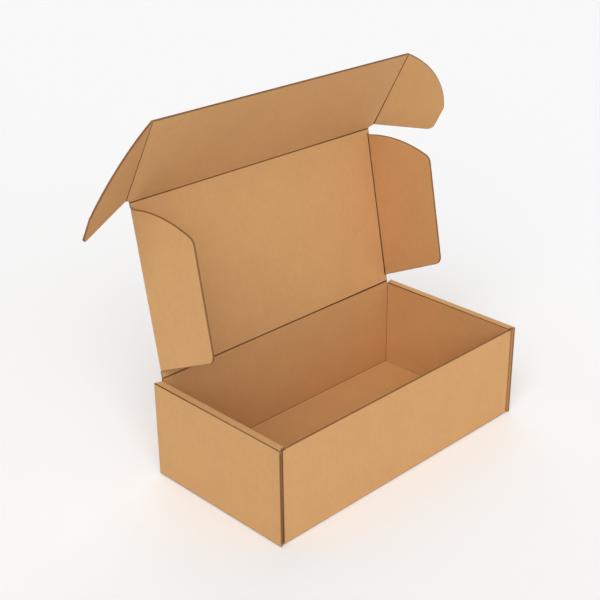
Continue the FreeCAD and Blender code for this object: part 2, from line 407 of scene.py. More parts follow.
def open_share(outline, is_cut, sheet):
    """How far a cut edge is open and crushed at each point of an outline: 0 at a corner, or where
    the edge stops being a cut one, rising with the way walked along the edge to 1. The rise is
    half as long again as the crushed strip is wide, so that the strips of two edges that meet
    at a corner stay clear of each other."""
    onward = np.roll(outline, -1, axis=0) - outline
    inbound = np.roll(onward, 1, axis=0)
    crossed = inbound[:, 0] * onward[:, 1] - inbound[:, 1] * onward[:, 0]
    bend = np.abs(np.arctan2(crossed, np.sum(inbound * onward, axis=1)))
    corner = (bend > SHARP_CORNER) | (is_cut != np.roll(is_cut, 1))
    walked = np.cumsum(np.linalg.norm(onward, axis=1))
    total, walked = walked[-1], np.roll(walked, 1)
    walked[0] = 0
    marks = walked[corner]
    marks = np.concatenate([marks[-1:] - total, marks, marks[:1] + total])
    nearest = np.abs(walked[:, None] - marks[None, :]).min(axis=1)
    return np.where(is_cut, np.clip(nearest / (OPENING_RUN * sheet.crush_width), 0, 1), 0)


def panel(p, runs, place, across=0):
    """Flat board inside a closed outline. Each point of the outline carries twelve places across
    the thickness: a liner, an open flute, the medium, an open flute, the other liner. The
    medium's height there is a sine of the distance across the flutes, the open flutes lie
    behind the edge, and each liner slopes down, darker and darker, to the edge where the die
    crushed it; that darkening is partly crushed paper and partly painted shade. Both faces are one
    flat polygon each."""
    sheet = p.sheet
    outline = np.vstack([points[:-1] for points, cut in runs])
    is_cut = np.concatenate([np.full(len(points) - 1, cut) for points, cut in runs])
    following = np.roll(outline, -1, axis=0)
    area = np.sum(outline[:, 0] * following[:, 1] - following[:, 0] * outline[:, 1]) / 2
    if area < 0:
        outline = outline[::-1]
        is_cut = np.roll(is_cut[::-1], -1)
    share = open_share(outline, is_cut, sheet)[:, None]
    tangent = np.roll(outline, -1, axis=0) - np.roll(outline, 1, axis=0)
    inward = np.stack([-tangent[:, 1], tangent[:, 0]], axis=1)
    inward /= np.linalg.norm(inward, axis=1)[:, None]

    inner = p.half - sheet.liner
    swing = inner - sheet.medium / 2 - MEDIUM_GAP
    wave = swing * np.sin(2 * math.pi * outline[:, across] / sheet.pitch)
    low, high = wave - sheet.medium / 2, wave + sheet.medium / 2
    edge = p.half - sheet.crush * share[:, 0] - EDGE_GAP
    levels = [-p.half, -edge, -inner, -inner, low, low, high, high, inner, inner, edge, p.half]
    height = np.stack([np.broadcast_to(level, len(outline)) for level in levels], axis=1)
    crushed, opened = sheet.crush_width, sheet.recess
    behind = np.array([crushed, 0, 0, opened, opened, 0, 0, opened, opened, 0, 0, crushed]) * share
    count, columns = height.shape
    flat = outline[:, None, :] + inward[:, None, :] * behind[:, :, None]
    points = np.concatenate([flat, height[:, :, None]], axis=2).reshape(-1, 3)

    number = np.arange(count * columns).reshape(count, columns)
    after = np.roll(number, -1, axis=0)
    rim = np.stack([number[:, :-1], after[:, :-1], after[:, 1:], number[:, 1:]], axis=2)
    faces = [number[:, -1].tolist(), number[::-1, 0].tolist()] + rim.reshape(-1, 4).tolist()
    rim_finish = np.full((count, columns - 1), LINER)
    rim_finish[is_cut] = CUT
    rim_finish[is_cut, 0] = rim_finish[is_cut, -1] = CREASE
    finish = [LINER, LINER] + rim_finish.ravel().tolist()
    # Painted shade along cut edges: each crushed strip goes over to the crease colour towards the
    # edge, partly as crushed paper
    crush_and_shade = p.edge_crush_and_shade * share * ([0] + [1] * (columns - 2) + [0])
    coords = np.column_stack([points[:, [across, 1 - across]], crush_and_shade.ravel()])
    return Shell().add(place.put(points), coords, faces, finish, [False] * len(faces))


def straight_panel(p, corners, cuts, place, across=0):
    """Flat board with straight sides; cuts says for each side whether it is a cut edge."""
    sides = zip(corners, corners[1:] + corners[:1], cuts)
    return panel(p, [line(a, b, p.sheet, across, cut) for a, b, cut in sides], place, across)


def rectangle(a_low, a_high, b_low, b_high):
    """Corners of a rectangle."""
    return [(a_low, b_low), (a_high, b_low), (a_high, b_high), (a_low, b_high)]


def both_halves(right):
    """Corners of a panel that is alike on the left and the right, from those on the right."""
    return right + [(-a, b) for a, b in right[::-1]]


def bead(section, finish, press_and_shade, low, high, place):
    """A section carried along the place's normal: each of its points runs from its own low end
    to its own high end. Sides with the crease finish are curved and shade smoothly."""
    count = len(section)
    stations = [np.broadcast_to(end, count)[:, None] for end in (low, high)]
    points = np.vstack([np.hstack([section, station]) for station in stations])
    number = np.arange(count)
    after = np.roll(number, -1)
    sides = np.stack([number, after, after + count, number + count], axis=1)
    faces = sides.tolist() + [(number + count).tolist(), number[::-1].tolist()]
    smooth = [kind == CREASE for kind in finish] + [False, False]
    coords = np.hstack([points[:, [2, 0]], np.tile(press_and_shade, 2)[:, None]])
    return Shell().add(place.put(points), coords, faces, list(finish) + [CUT, CUT], smooth)


def corner_section(sheet):
    """Section of a square fold in the tray. The outer corner is at (0, 0) and the board leaves
    along +a and +b: an arc outside, a small arc inside, straight between."""
    turn = sheet.thickness + sheet.inner_fold
    outside = np.linspace(math.pi, 1.5 * math.pi, OUTER_FOLD_POINTS)
    inside = np.linspace(1.5 * math.pi, math.pi, INNER_FOLD_POINTS)
    outer = sheet.outer_fold * (1 + np.stack([np.cos(outside), np.sin(outside)], axis=1))
    inner = turn + sheet.inner_fold * np.stack([np.cos(inside), np.sin(inside)], axis=1)
    section = np.vstack([outer, [[turn, 0]], inner, [[0, turn]]])
    finish = [CREASE] * (OUTER_FOLD_POINTS - 1) + [LINER] * 2
    finish += [CREASE] * (INNER_FOLD_POINTS - 1) + [LINER] * 2
    # Painted shade on the fold: the outer arc darkens to the crease colour towards its middle and
    # the inner arc is dark all over, partly as pressed paper
    bow = np.sin(np.linspace(0, math.pi, OUTER_FOLD_POINTS))
    return section, finish, np.r_[bow, 0, np.ones(INNER_FOLD_POINTS), 0]


def square_fold(p, corner, toward_a, toward_b, span):
    """Square fold of the tray with its outer corner at corner. span is where it begins and ends
    along its own direction, as numbers or as a function of the points of its section."""
    section, finish, press_and_shade = corner_section(p.sheet)
    place = Place(corner, toward_a, toward_b)
    if callable(span):
        span = span(place.put(np.hstack([section, np.zeros((len(section), 1))])))
    return bead(section, finish, press_and_shade, *span, place)


def scored_fold(angle, parent_reach, child_reach, sheet):
    """Section of a flap's fold about its hinge line at (0, 0). The board comes in along +a and
    leaves turned by angle towards +b: a round outside of half the board's thickness, and
    inside the crossing of both faces, pressed back by the score, whose depth is a squared
    cosine of the distance from the crossing."""
    half = sheet.thickness / 2
    on = np.array([math.cos(angle), math.sin(angle)])
    up = np.array([-math.sin(angle), math.cos(angle)])
    middle = np.array([-math.sin(angle / 2), math.cos(angle / 2)])
    foot = half * math.tan(abs(angle) / 2)
    if angle > 0:
        turn = np.linspace(-math.pi / 2, angle - math.pi / 2, HINGE_POINTS)
        outside = half * np.stack([np.cos(turn), np.sin(turn)], axis=1)
    else:
        crossing = -middle * half / math.cos(angle / 2)
        outside = np.array([[-FACE_STEP, -half], crossing, on * FACE_STEP - up * half])
    away = sheet.score_width * np.linspace(1, GROOVE_MIDDLE, GROOVE_POINTS)[:, None]
    depth = sheet.score * np.cos(math.pi / 2 * away / sheet.score_width) ** 2
    child_side = on * (foot + away) + up * (half - depth)
    crossing = middle * (half / math.cos(angle / 2) - sheet.score)
    parent_side = np.hstack([-(foot + away), half - depth])[::-1]
    begin, finish = [[-parent_reach, -half]], [[-parent_reach, half]]
    end = [on * child_reach - up * half, on * child_reach + up * half]
    section = np.vstack([begin, outside, end, child_side, [crossing], parent_side, finish])
    curved, grooved = len(outside), 2 * len(away) + 1
    finish = [LINER] + [CREASE] * (curved - 1) + [LINER] * 3
    finish += [CREASE] * (grooved - 1) + [LINER] * 2
    # Painted shade on the fold: the crease colour grows towards the middle of the outer round and
    # of the score groove, partly as pressed paper
    bow = np.sin(np.linspace(0, math.pi, curved))
    dip = np.cos(np.linspace(-math.pi / 2, math.pi / 2, grooved))
    return section, finish, np.r_[0, bow, 0, 0, dip, 0]


def fold_span(angle, parent_reach, child_reach, half):
    """How far along the chord of a bent fold the board still follows its parent, and from where
    it follows the flap: the nearest face points of each side, measured along the chord."""
    along = math.cos(angle / 2)
    inwards = half * math.sin(abs(angle) / 2)
    return -(parent_reach * along - inwards), child_reach * along - inwards


def board_object(name, shell):
    """One mesh object from a shell, at the origin, with its board coordinates as its UV map."""
    mesh = bpy.data.meshes.new(name)
    mesh.from_pydata(shell.points, [], shell.faces)
    mesh.polygons.foreach_set("material_index", np.array(shell.finish, dtype=np.int32))
    mesh.polygons.foreach_set("use_smooth", np.array(shell.smooth, dtype=bool))
    corner_points = np.zeros(len(mesh.loops), dtype=np.int32)
    mesh.loops.foreach_get("vertex_index", corner_points)
    layer = mesh.uv_layers.new(name="board")
    layer.data.foreach_set("uv", shell.coords[corner_points, :2].astype(np.float32).ravel())
    # The pressed attribute mixes in the crease colour: pressed paper and painted shade together
    pressed = mesh.attributes.new("pressed", "FLOAT", "POINT")
    pressed.data.foreach_set("value", shell.coords[:, 2].astype(np.float32))
    for material in board_materials():
        mesh.materials.append(material)
    mesh.update()
    obj = bpy.data.objects.new(name, mesh)
    bpy.context.scene.collection.objects.link(obj)
    return obj


def dress(node, shell):
    """The board that takes a CAD node's place and moves with its body."""
    obj = board_object(node + "_board", shell)
    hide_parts(node)
    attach(obj, node)


def bend(name, shell, parent, child, ends):
    """A fold as one mesh object, fixed where it lies at rest. Its parent, child and ends are not
    used."""
    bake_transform(board_object(name, shell))


def node_group(name, vector, numbers, results):
    """A new node group with a vector input, number inputs with their defaults and number
    outputs, and its input and output nodes."""
    tree = bpy.data.node_groups.new(name, "ShaderNodeTree")
    socket = partial(tree.interface.new_socket, in_out="INPUT")
    socket(name=vector, socket_type="NodeSocketVector")
    for title, default in numbers.items():
        socket(name=title, socket_type="NodeSocketFloat").default_value = default
    for title in results:
        socket(name=title, in_out="OUTPUT", socket_type="NodeSocketFloat")
    return tree, tree.nodes.new("NodeGroupInput"), tree.nodes.new("NodeGroupOutput")


def math_node(tree, operation, *values):
    """A Math node; each value is a number or a socket to link."""
    node = tree.nodes.new("ShaderNodeMath")
    node.operation = operation
    for socket, value in zip(node.inputs, values):
        if isinstance(value, (int, float)):
            socket.default_value = value
        else:
            tree.links.new(value, socket)
    return node.outputs[0]


def noise(tree, vector, scale, detail, distortion=0.0):
    """Noise in object space; scale is in cycles per metre."""
    node = tree.nodes.new("ShaderNodeTexNoise")
    node.inputs["Scale"].default_value = scale
    node.inputs["Detail"].default_value = detail
    node.inputs["Distortion"].default_value = distortion
    tree.links.new(vector, node.inputs["Vector"])
    return node.outputs["Fac"]


def strands(tree, vector, scale, gap_scale, thinness):
    """Thin curled fibres: where a noise crosses its middle, broken up by a second noise."""
    maths = partial(math_node, tree)
    strand = maths("SUBTRACT", noise(tree, vector, scale, FIBRE_DETAIL, FIBRE_CURL), 0.5)
    strand = maths("MULTIPLY", maths("ABSOLUTE", strand), thinness)
    strand = maths("MAXIMUM", maths("SUBTRACT", 1.0, strand), 0.0)
    part = maths("SUBTRACT", noise(tree, vector, gap_scale, GAP_DETAIL), GAP_LEVEL)
    part = maths("MAXIMUM", maths("MULTIPLY", part, GAP_EDGE), 0.0)
    return maths("MULTIPLY", strand, maths("MINIMUM", part, 1.0))


def paper_group():
    """Kraft paper: clouds of two sizes, fine grain, dark and light fibres, and a few small dark
    flecks round the points of a cell pattern. Tone is near 1, Height near 0."""
    tree = bpy.data.node_groups.get("kraft paper")
    if tree:
        return tree
    numbers = {"Blotches": 0.05, "Grain": 0.06, "Fibres": 0.1}
    tree, source, sink = node_group("kraft paper", "Vector", numbers, ("Tone", "Height"))
    maths, vector = partial(math_node, tree), source.outputs["Vector"]
    cloud = maths("SUBTRACT", noise(tree, vector, *CLOUD), 0.5)
    puff = maths("SUBTRACT", noise(tree, vector, *PUFF), 0.5)
    cloud = maths("MULTIPLY_ADD", puff, PUFF_SHARE, cloud)
    speck = maths("SUBTRACT", noise(tree, vector, *SPECK), 0.5)
    dark = strands(tree, vector, *DARK_FIBRES)
    light = strands(tree, vector, *LIGHT_FIBRES)
    cells = tree.nodes.new("ShaderNodeTexVoronoi")
    cells.inputs["Scale"].default_value = FLECK
    tree.links.new(vector, cells.inputs["Vector"])
    fleck = maths("MULTIPLY", cells.outputs["Distance"], FLECK_FALL)
    fleck = maths("MAXIMUM", maths("SUBTRACT", 1.0, fleck), 0.0)
    strand = maths("MULTIPLY_ADD", light, LIGHT_SHARE, dark)
    strand = maths("MULTIPLY_ADD", fleck, FLECK_SHARE, strand)
    tone = 1.0
    patterns = ((cloud, "Blotches", 2.0), (speck, "Grain", 2.0), (strand, "Fibres", -1.0))
    for pattern, name, swing in patterns:
        strength = maths("MULTIPLY", source.outputs[name], swing)
        tone = maths("MULTIPLY_ADD", pattern, strength, tone)
    tree.links.new(tone, sink.inputs["Tone"])
    tree.links.new(maths("MULTIPLY_ADD", dark, DARK_HEIGHT, speck), sink.inputs["Height"])
    return tree


def flute_group():
    """Washboard of the flutes under the liner: a sine of the first board coordinate over the
    flute pitch, from -1 to 1."""
    tree = bpy.data.node_groups.get("flute washboard")
    if tree:
        return tree
    tree, source, sink = node_group("flute washboard", "Board", {"Pitch": 0.0032}, ("Wave",))
    maths = partial(math_node, tree)
    split = tree.nodes.new("ShaderNodeSeparateXYZ")
    tree.links.new(source.outputs["Board"], split.inputs["Vector"])
    turns = maths("DIVIDE", split.outputs["X"], source.outputs["Pitch"])
    tree.links.new(maths("SINE", maths("MULTIPLY", turns, 2 * math.pi)), sink.inputs["Wave"])
    return tree


def group_node(tree, group, values):
    """A node group placed in a material; each value is a number or a socket to link."""
    node = tree.nodes.new("ShaderNodeGroup")
    node.node_tree = group
    for name, value in values.items():
        if isinstance(value, float):
            node.inputs[name].default_value = value
        else:
            tree.links.new(value, node.inputs[name])
    return node


def colour_mix(tree, blend_type):
    """A Mix node for colours: its factor, its two colour inputs and its output."""
    node = tree.nodes.new("ShaderNodeMix")
    node.data_type = "RGBA"
    node.blend_type = blend_type
    return node.inputs["Factor"], node.inputs[6], node.inputs[7], node.outputs[2]


def board_material(name, base, washboard, roughness, bump, pressed=None):
    """Paper of one colour: tone and height from the paper and the flutes under it. On folds and
    crushed edges it goes over to the pressed colour by the pressed attribute, which stands for how
    hard the board was pressed there and for painted shade."""
    box = settings()
    finish = box.finish
    material = bpy.data.materials.new(name)
    material.use_nodes = True
    tree = material.node_tree
    maths = partial(math_node, tree)
    shader = tree.nodes["Principled BSDF"]
    coords = tree.nodes.new("ShaderNodeUVMap")
    coords.uv_map = "board"
    values = {"Blotches": finish.blotch, "Grain": finish.grain, "Fibres": finish.fibres}
    values["Vector"] = tree.nodes.new("ShaderNodeTexCoord").outputs["Object"]
    paper = group_node(tree, paper_group(), values)
    values = {"Board": coords.outputs["UV"], "Pitch": box.board.pitch}
    wave = group_node(tree, flute_group(), values).outputs["Wave"]
    share, own, shade, tinted = colour_mix(tree, "MULTIPLY")
    share.default_value = 1.0
    own.default_value = (*base, 1.0)
    tree.links.new(maths("MULTIPLY_ADD", wave, washboard, paper.outputs["Tone"]), shade)
    tree.links.new(tinted, shader.inputs["Base Color"])
    if pressed:
        press_and_shade = tree.nodes.new("ShaderNodeAttribute")
        press_and_shade.attribute_name = "pressed"
        share, first, second, blended = colour_mix(tree, "MIX")
        first.default_value = (*base, 1.0)
        second.default_value = (*pressed, 1.0)
        tree.links.new(press_and_shade.outputs["Fac"], share)
        tree.links.new(blended, own)
    swing = (-ROUGHNESS_SWING, roughness + ROUGHNESS_SWING)
    rough = maths("MULTIPLY_ADD", paper.outputs["Tone"], *swing)
    tree.links.new(rough, shader.inputs["Roughness"])
    shader.inputs["Specular IOR Level"].default_value = PAPER_SPECULAR
    height = maths("MULTIPLY_ADD", wave, washboard * FLUTE_RELIEF, paper.outputs["Height"])
    relief = tree.nodes.new("ShaderNodeBump")
    relief.inputs["Strength"].default_value = bump
    relief.inputs["Distance"].default_value = BUMP_DEPTH
    tree.links.new(height, relief.inputs["Height"])
    tree.links.new(relief.outputs["Normal"], shader.inputs["Normal"])
    return material


def board_materials():
    """The finishes of the board, made once: liner, cut edge and crease. Each has a name, a
    colour, its washboard, roughness and bump, and the colour it takes where it is pressed and where
    shade is painted."""
    finish = settings().finish
    wanted = (
        ("kraft liner", finish.kraft, finish.washboard, 0.82, 0.6, None),
        # Cut edge material: partly the exposed paper's tone, partly painted shade in the open
        # flutes
        ("cut edge", finish.cut, 0.0, 0.9, 0.8, None),
        # Crease material: kraft going over to a dark crease colour, partly pressed paper, partly
        # painted shade
        ("pressed crease", finish.kraft, 0.0, 0.85, 0.8, finish.crease),
    )
    return [bpy.data.materials.get(row[0]) or board_material(*row) for row in wanted]


def floor_end(p, x, side):
    """Front or back end of the floor beyond the long walls, where its edge is cut obliquely."""
    inner = (p.corner_out, p.face[side] - side * p.sheet.outer_fold)
    return between(x, inner, (p.half_length, side * p.half_width))


def strip_end(p, x, side):
    """Front or back end of the strip on top of an end wall, cut obliquely from wall to wall."""
    return between(x, (p.inner_in, p.inner_edge[side]), (p.half_length, side * p.half_width))


def tray_floor(p):
    """Floor with the slots for the tabs, and the folds up to the front and back walls."""
    tray, ground = p.tray, Place(Z * p.half, X, Y)
    front, back = p.face[-1] + p.turn, p.face[1] - p.turn
    slot_in, slot_out = p.inner_in - tray.slot_gap, p.inner_out + tray.slot_gap
    tab_half = tray.tab_width / 2 + tray.slot_gap
    near, far = tray.tab_distance - tab_half, tray.tab_distance + tab_half
    rows = [(-slot_in, slot_in, front, back)]
    for low, high in ((front, -far), (-near, near), (far, back)):
        rows += [(slot_in, slot_out, low, high), (-slot_out, -slot_in, low, high)]
    shell = Shell()
    for row in rows:
        shell.join(straight_panel(p, rectangle(*row), [False] * 4, ground))
    turn = p.half_length - p.turn
    ends = ((p.corner_out, -1), (turn, -1), (turn, 1), (p.corner_out, 1))
    corners = [(slot_out, front), (p.corner_out, front)]
    corners += [(x, floor_end(p, x, side)) for x, side in ends]
    corners += [(p.corner_out, back), (slot_out, back)]
    cuts = [False, False, True, False, True, False, False, False]
    beyond = straight_panel(p, corners, cuts, ground)
    span = (-p.corner_out, p.corner_out)
    front_fold = square_fold(p, (0, p.face[-1], 0), Y, Z, span)
    back_fold = square_fold(p, (0, p.face[1], 0), Z, -Y, span)
    return shell.join(beyond, beyond.mirrored(), front_fold, back_fold)


def front_wall(p):
    """Front wall, whose upper edge slopes down to the corner flaps at both ends."""
    side, slope = p.corner_out - p.turn, p.lid_half_width - p.half
    corners = [(-side, p.turn), (side, p.turn), (side, p.flap_top), (p.inner_in, p.flap_top)]
    corners += [(slope, p.front_top), (-slope, p.front_top)]
    corners += [(-p.inner_in, p.flap_top), (-side, p.flap_top)]
    cuts = [False, False, True, True, True, True, True, False]
    return straight_panel(p, corners, cuts, Place((0, p.front_in - p.half, 0), X, Z))


def back_wall(p):
    """Back wall, which narrows to the lid's width in a curve beside each end of the hinge."""
    side, step, radius = p.corner_out - p.turn, p.lid_half_width, p.tray.shoulder
    centre = (step + radius, p.flap_top + radius)
    low_turn = -math.acos((side - centre[0]) / radius)
    low, top = centre[1] + radius * math.sin(low_turn), p.hinge_z - p.lid.panel_end
    fold = partial(line, sheet=p.sheet, cut=False)
    runs = [
        fold((-side, p.turn), (side, p.turn)),
        fold((side, p.turn), (side, low)),
        arc(centre, radius, low_turn, -math.pi, p.sheet),
        line((step, centre[1]), (step, top), p.sheet),
        fold((step, top), (-step, top)),
        line((-step, top), (-step, centre[1]), p.sheet),
        arc((-centre[0], centre[1]), radius, 0, -math.pi - low_turn, p.sheet),
        fold((-side, low), (-side, p.turn)),
    ]
    return panel(p, runs, Place((0, p.back_in + p.half, 0), X, Z))


def rolled_end_wall(p):
    """Right end wall: up outside, over the top and down inside, with its two tabs. Each of its
    folds ends obliquely where it is the floor or the strip, and on the wall's side edge below
    or above."""
    tray, top, shell = p.tray, p.tray.tray_height, Shell()
    end_turn, inner_turn, high_turn = p.half_length - p.turn, p.inner_in + p.turn, top - p.turn
    outer_edge = {-1: -p.half_width, 1: p.half_width}
    folds = (
        ((p.half_length, 0, 0), Z, -X, p.half, floor_end, outer_edge),
        ((p.half_length, 0, top), -X, -Z, top - p.half, strip_end, outer_edge),
        ((p.inner_in, 0, top), -Z, X, top - p.half, strip_end, p.inner_edge),
    )
    for corner, toward_a, toward_b, middle, level_end, wall_edge in folds:

        def span(at):
            """Back end and front end, along -Y, at each point of the section."""
            level = np.abs(at[:, 2] - middle) <= p.half + TINY
            ends = {side: level_end(p, at[:, 0], side) for side in (1, -1)}
            return [-np.where(level, ends[side], wall_edge[side]) for side in (1, -1)]

        shell.join(square_fold(p, corner, toward_a, toward_b, span))
    corners = rectangle(-p.half_width, p.half_width, p.turn, high_turn)
    place = Place((p.end_in + p.half, 0, 0), Y, Z)
    shell.join(straight_panel(p, corners, [False, True] * 2, place, 1))
    ends = ((inner_turn, -1), (end_turn, -1), (end_turn, 1), (inner_turn, 1))
    corners = [(x, strip_end(p, x, side)) for x, side in ends]
    place = Place(Z * (p.strip_under + p.half), X, Y)
    shell.join(straight_panel(p, corners, [True, False] * 2, place))
    front, back, bottom = p.inner_edge[-1], p.inner_edge[1], p.inner_bottom
    corners = [(front, high_turn), (back, high_turn), (back, bottom)]
    for middle in (tray.tab_distance, -tray.tab_distance):
        high, low = middle + tray.tab_width / 2, middle - tray.tab_width / 2
        corners += [(high, bottom), (high, tray.tab_bottom), (low, tray.tab_bottom), (low, bottom)]
    corners.append((front, bottom))
    cuts = [False] + [True] * (len(corners) - 1)
    place = Place((p.inner_in + p.half, 0, 0), Y, Z)
    return shell.join(straight_panel(p, corners, cuts, place, 1))


def corner_flap(p, side):
    """Corner fold and flap on the right; side -1 hangs on the front wall, 1 on the back wall."""
    sheet, tray, face = p.sheet, p.tray, p.face[side]
    start, free = face - side * p.turn, face - side * tray.flap_length
    low, high = p.inner_bottom, p.flap_top
    a, b, c, d = (start, high), (free, high), (free, low), (start, low)
    upper_in, upper_out, upper = rounded(a, b, c, tray.flap_radius, sheet)
    lower_in, lower_out, lower = rounded(b, c, d, tray.flap_radius, sheet)
    runs = [line(a, upper_in, sheet), upper, line(upper_out, lower_in, sheet), lower]
    runs += [line(lower_out, d, sheet), line(d, a, sheet, cut=False)]
    shell = panel(p, runs, Place((p.corner_in + p.half, 0, 0), Y, Z))
    toward = (Y, -X) if side < 0 else (-X, -Y)
    return shell.join(square_fold(p, (p.corner_out, face, 0), *toward, (low, high)))


def lid_place(p):
    """The lid's plane at rest: a runs along X and b up the lid from its hinge, inner face first."""
    up = (0.0, math.cos(p.lid.lid_angle), math.sin(p.lid.lid_angle))
    return Place((0, p.hinge_y, p.hinge_z), X, up)


def tuck_place(p):
    """The tuck flap's plane at rest, from the fold at the lid's far end."""
    whole = p.lid.lid_angle + p.lid.tuck_angle
    return Place(lid_place(p).put([0, p.lid_depth, 0]), X, (0.0, math.cos(whole), math.sin(whole)))


def side_place(parent, fold_x, fold_angle):
    """The plane of a right side flap: a runs away from its fold line, turned up by its angle."""
    across, along, up = parent.axes
    turned = math.cos(fold_angle) * across + math.sin(fold_angle) * up
    return Place(parent.put([fold_x, 0, 0]), turned, along)


def lid_panel(p):
    """Lid between its four folds, with the short free edges at both ends of each dust fold."""
    wide, narrow = p.lid_half_width, p.dust_x - p.lid.side_fold_reach
    low, high = p.lid.dust_start, p.dust_end
    right = [(wide, p.lid.panel_start), (wide, low), (narrow, low)]
    right += [(narrow, high), (wide, high), (wide, p.lid_depth - p.lid.panel_end)]
    cuts = [True, True, False] * 4
    return straight_panel(p, both_halves(right), cuts, lid_place(p))


def notch_edge(p, x):
    """The tuck flap's oblique edge, from the lid's side to where the ear begins."""
    start = (p.lid_half_width, p.lid.panel_start)
    return between(x, start, (p.ear_x + p.half, p.ear_start))


def tuck_panel(p):
    """Tuck flap between the lid fold and its two ears."""
    side = p.ear_x - p.lid.panel_start
    right = [(p.lid_half_width, p.lid.panel_start), (side, notch_edge(p, side))]
    right.append((side, p.tuck_depth))
    return straight_panel(p, both_halves(right), [True, False] * 3, tuck_place(p))


def ear(p):
    """Right ear: straight upper edge, rounded tip, swept lower edge on a circle."""
    sheet, lid, centre = p.sheet, p.lid, p.ear_centre
    start, reach = lid.panel_start, lid.ear_reach
    first, tip = (start, p.ear_start), (reach, circle_top(centre, p.ear_arc, reach))
    inner = (start, circle_top(centre, p.ear_arc, start))
    upper_in, upper_out, upper = rounded(first, (reach, p.ear_start), tip, lid.ear_radius, sheet)
    runs = [line(first, upper_in, sheet), upper, line(upper_out, tip, sheet)]
    runs.append(arc(centre, p.ear_arc, bearing(centre, tip), bearing(centre, inner), sheet))
    runs.append(line(inner, first, sheet, cut=False))
    return panel(p, runs, side_place(tuck_place(p), p.ear_x, lid.ear_angle))


def dust_flap(p):
    """Right dust flap: sloped edge beside the hinge, rounded corners, curved front edge."""
    sheet, lid, centre, radius = p.sheet, p.lid, p.dust_centre, p.lid.dust_radius
    start, high, rise = lid.side_fold_reach, lid.dust_height, math.tan(lid.dust_slope)
    first, corner = ((w, lid.dust_start + w * rise) for w in (start, high))
    low_in, low_out, low = rounded(first, corner, (high, corner[1] + high), radius, sheet)
    upper = (high - radius, circle_top(centre, p.dust_arc - radius, high - radius))
    meet = bearing(centre, upper)
    end = (start, circle_top(centre, p.dust_arc, start))
    runs = [line(first, low_in, sheet), low, line(low_out, (high, upper[1]), sheet)]
    runs.append(arc(upper, radius, 0, meet, sheet))
    runs.append(arc(centre, p.dust_arc, meet, bearing(centre, end), sheet))
    runs.append(line(end, first, sheet, cut=False))
    return panel(p, runs, side_place(lid_place(p), p.dust_x, lid.dust_angle))


def crease(p, place, fold_angle, parent_reach, child_reach, ends):
    """A flap's fold, its section carried along the place's normal. ends gives for each distance
    from the fold line where the board begins and ends. With it come the two points on its
    chord between which it bends."""
    section, finish, press_and_shade = scored_fold(fold_angle, parent_reach, child_reach, p.sheet)
    on = section @ [math.cos(fold_angle), math.sin(fold_angle)]
    out = np.where(section[:, 0] < 0, np.minimum(section[:, 0], on), on)
    shell = bead(section, finish, press_and_shade, *ends(out), place)
    chord = np.array([math.cos(fold_angle / 2), math.sin(fold_angle / 2), 0.0])
    span = fold_span(fold_angle, parent_reach, child_reach, p.half)
    return shell, [place.put(chord * reach) for reach in span]


def across_lid(p, out):
    """A fold as long as the lid is wide."""
    return -p.lid_half_width, p.lid_half_width


def dust_ends(p, out):
    """Straight along the lid, then on the dust flap's sloped and curved edges."""
    away = np.maximum(out, 0)
    low = p.lid.dust_start + away * math.tan(p.lid.dust_slope)
    share = np.clip(away / p.lid.side_fold_reach, 0, 1)
    curve = circle_top(p.dust_centre, p.dust_arc, away)
    return -(p.dust_end + (curve - p.dust_end) * share), -low


def ear_ends(p, out):
    """On the tuck flap's oblique notch, then on the ear's swept edge."""
    return -circle_top(p.ear_centre, p.ear_arc, np.maximum(out, 0)), -notch_edge(p, p.ear_x + out)


class MAILER_OT_tray(Operator):
    """Folds the tray: floor, long walls, rolled end walls and corner flaps"""

    bl_idname = "mailer.tray"
    bl_label = "Fold the tray"

    def execute(self, context):
        p = fold_lines()
        shell = tray_floor(p).join(front_wall(p), back_wall(p))
        for part in (rolled_end_wall(p), corner_flap(p, -1), corner_flap(p, 1)):
            shell.join(part, part.mirrored())
        dress("tray", shell)
        return {"FINISHED"}


class MAILER_OT_lid(Operator):
    """Cuts the lid panel"""

    bl_idname = "mailer.lid"
    bl_label = "Cut the lid"

    def execute(self, context):
        dress("lid", lid_panel(fold_lines()))
        return {"FINISHED"}


class MAILER_OT_tuck_flap(Operator):
    """Cuts the tuck flap"""

    bl_idname = "mailer.tuck_flap"
    bl_label = "Cut the tuck flap"

    def execute(self, context):
        dress("tuck_flap", tuck_panel(fold_lines()))
        return {"FINISHED"}


class MAILER_OT_side_flaps(Operator):
    """Cuts the two dust flaps and the two ears"""

    bl_idname = "mailer.side_flaps"
    bl_label = "Cut dust flaps and ears"

    def execute(self, context):
        for name, shell in (("dust_flap", dust_flap(fold_lines())), ("ear", ear(fold_lines()))):
            dress("right_" + name, shell)
            dress("left_" + name, shell.mirrored())
        return {"FINISHED"}


